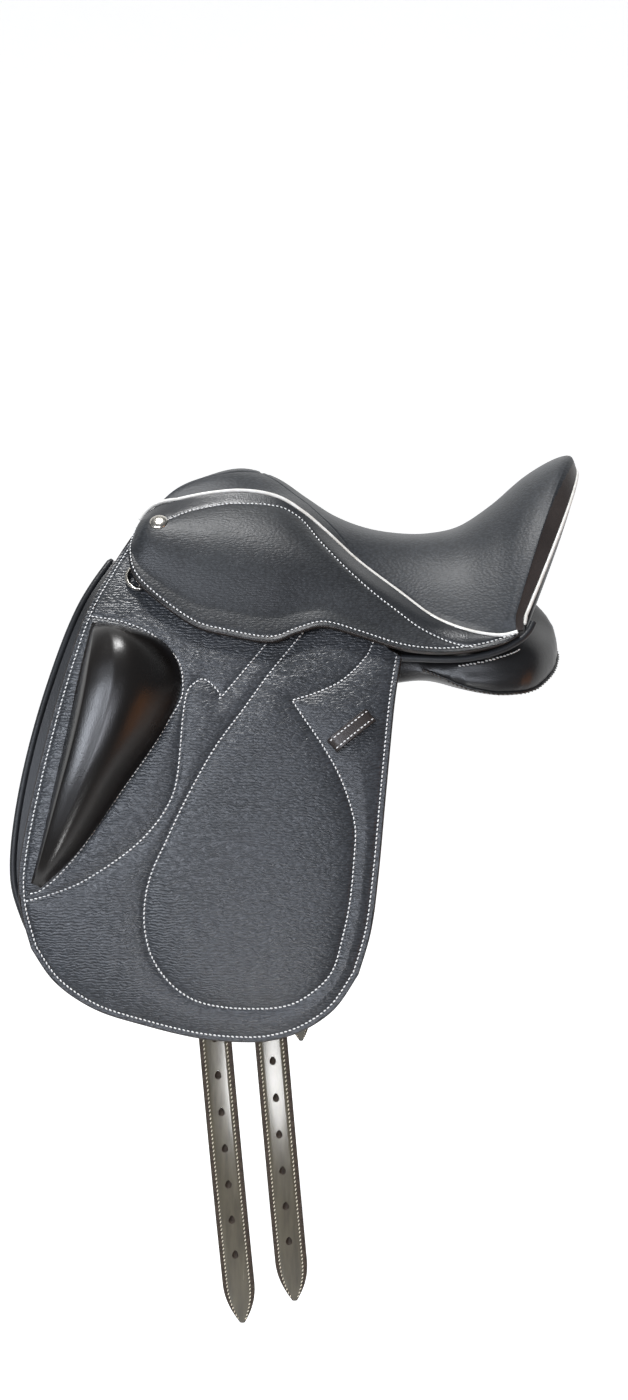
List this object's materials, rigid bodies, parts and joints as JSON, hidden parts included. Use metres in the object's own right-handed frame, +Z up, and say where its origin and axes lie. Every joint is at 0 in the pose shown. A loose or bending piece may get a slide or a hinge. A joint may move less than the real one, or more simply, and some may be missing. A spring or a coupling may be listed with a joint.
{
  "type": "dressage saddle",
  "caption": "Dressage saddle with long straight flaps, knee blocks, deep seat, girth straps, stirrup bars and panels on a wooden tree.",
  "frame": {"origin": "on the midline between the panels, level with their inner edges, where a rack or a back carries the saddle; X is zero at the middle of the saddle's length", "axes": "+X towards the cantle, +Y towards the off (right) side, +Z up"},
  "size_m": [0.5755, 0.5178, 0.8385],
  "materials": {
    "black_leather": "grained, satin",
    "calf_leather": "smooth, polished",
    "panel_leather": "soft, satin",
    "strap_leather": "waxed, glossy",
    "piping": "smooth, satin",
    "tree_wood": "laminated beech",
    "spring_steel": "blued",
    "forged_steel": "satin",
    "nickel": "polished nickel",
    "webbing": "woven",
    "foam": "open cell"
  },
  "bodies": {
    "saddle": {"tree_head": "tree_wood", "tree_rail_left": "tree_wood", "tree_rail_right": "tree_wood", "tree_cantle": "tree_wood", "gullet_plate": "spring_steel", "spring_strips": "spring_steel", "straining_webs": "webbing", "seat_foam": "foam", "seat_cover": "black_leather", "pommel_facing": "black_leather", "cantle_facing": "black_leather", "cantle_piping": "piping", "skirt_piping_left": "piping", "skirt_piping_right": "piping", "rear_roll_left": "black_leather", "rear_roll_right": "black_leather", "skirt_top_left": "black_leather", "skirt_top_right": "black_leather", "saddle_nail_left": "nickel", "saddle_nail_right": "nickel", "flap_top_left": "black_leather", "flap_top_right": "black_leather", "sweat_flap_left": "black_leather", "sweat_flap_right": "black_leather", "panel_left": "panel_leather", "panel_right": "panel_leather", "girth_web_left": "webbing", "girth_web_right": "webbing", "dee_chape_left": "black_leather", "dee_chape_right": "black_leather", "stirrup_bar_left": "forged_steel", "stirrup_bar_right": "forged_steel", "bar_rivets_left": "forged_steel", "bar_rivets_right": "forged_steel", "catch_pin_left": "forged_steel", "catch_pin_right": "forged_steel"},
    "flap_left": {"flap_left": "black_leather", "knee_block_left": "calf_leather", "keeper_left": "black_leather"},
    "skirt_left": {"skirt_left": "black_leather"},
    "strap_front_left": {"strap_head_front_left": "strap_leather", "strap_front_left": "strap_leather"},
    "strap_rear_left": {"strap_head_rear_left": "strap_leather", "strap_rear_left": "strap_leather"},
    "dee_left": {"dee_left": "nickel"},
    "bar_catch_left": {"bar_catch_left": "forged_steel"},
    "flap_right": {"flap_right": "black_leather", "knee_block_right": "calf_leather", "keeper_right": "black_leather"},
    "skirt_right": {"skirt_right": "black_leather"},
    "strap_front_right": {"strap_head_front_right": "strap_leather", "strap_front_right": "strap_leather"},
    "strap_rear_right": {"strap_head_rear_right": "strap_leather", "strap_rear_right": "strap_leather"},
    "dee_right": {"dee_right": "nickel"},
    "bar_catch_right": {"bar_catch_right": "forged_steel"}
  },
  "joints": [
    {"name": "flap_lift_left", "type": "hinge", "parent": "saddle", "child": "flap_left", "pos_m": [-0.225, -0.12595, 0.024], "axis": [-0.9823, 0.0787, 0.1698], "range_deg": [0, 70]},
    {"name": "skirt_lift_left", "type": "hinge", "parent": "saddle", "child": "skirt_left", "pos_m": [-0.186, -0.112, 0.08], "axis": [-0.9408, 0.1418, 0.3078], "range_deg": [0, 60]},
    {"name": "girth_swing_front_left", "type": "hinge", "parent": "saddle", "child": "strap_front_left", "pos_m": [-0.12915, -0.11257, 0.02303], "axis": [0, 0.8781, -0.4784], "range_deg": [-5, 5]},
    {"name": "girth_swing_rear_left", "type": "hinge", "parent": "saddle", "child": "strap_rear_left", "pos_m": [-0.07615, -0.11257, 0.02303], "axis": [0, 0.8781, -0.4784], "range_deg": [-5, 5]},
    {"name": "dee_turn_left", "type": "hinge", "parent": "saddle", "child": "dee_left", "pos_m": [-0.172, -0.11085, 0.05624], "axis": [0, 0.5431, 0.8397], "range_deg": [-5, 24]},
    {"name": "catch_turn_left", "type": "hinge", "parent": "saddle", "child": "bar_catch_left", "pos_m": [-0.082, -0.09773, 0.08456], "axis": [0, -0.7957, 0.6057], "range_deg": [0, 75]},
    {"name": "flap_lift_right", "type": "hinge", "parent": "saddle", "child": "flap_right", "pos_m": [-0.225, 0.12595, 0.024], "axis": [0.9823, 0.0787, -0.1698], "range_deg": [0, 70]},
    {"name": "skirt_lift_right", "type": "hinge", "parent": "saddle", "child": "skirt_right", "pos_m": [-0.186, 0.112, 0.08], "axis": [0.9408, 0.1418, -0.3078], "range_deg": [0, 60]},
    {"name": "girth_swing_front_right", "type": "hinge", "parent": "saddle", "child": "strap_front_right", "pos_m": [-0.12915, 0.11257, 0.02303], "axis": [0, 0.8781, 0.4784], "range_deg": [-5, 5]},
    {"name": "girth_swing_rear_right", "type": "hinge", "parent": "saddle", "child": "strap_rear_right", "pos_m": [-0.07615, 0.11257, 0.02303], "axis": [0, 0.8781, 0.4784], "range_deg": [-5, 5]},
    {"name": "dee_turn_right", "type": "hinge", "parent": "saddle", "child": "dee_right", "pos_m": [-0.172, 0.11085, 0.05624], "axis": [0, 0.5431, -0.8397], "range_deg": [-5, 24]},
    {"name": "catch_turn_right", "type": "hinge", "parent": "saddle", "child": "bar_catch_right", "pos_m": [-0.082, 0.09773, 0.08456], "axis": [0, -0.7957, -0.6057], "range_deg": [0, 75]}
  ],
  "couplings": [
    {"joint": "girth_swing_rear_left", "follows": "girth_swing_front_left", "ratio": 1},
    {"joint": "girth_swing_rear_right", "follows": "girth_swing_front_right", "ratio": 1}
  ]
}
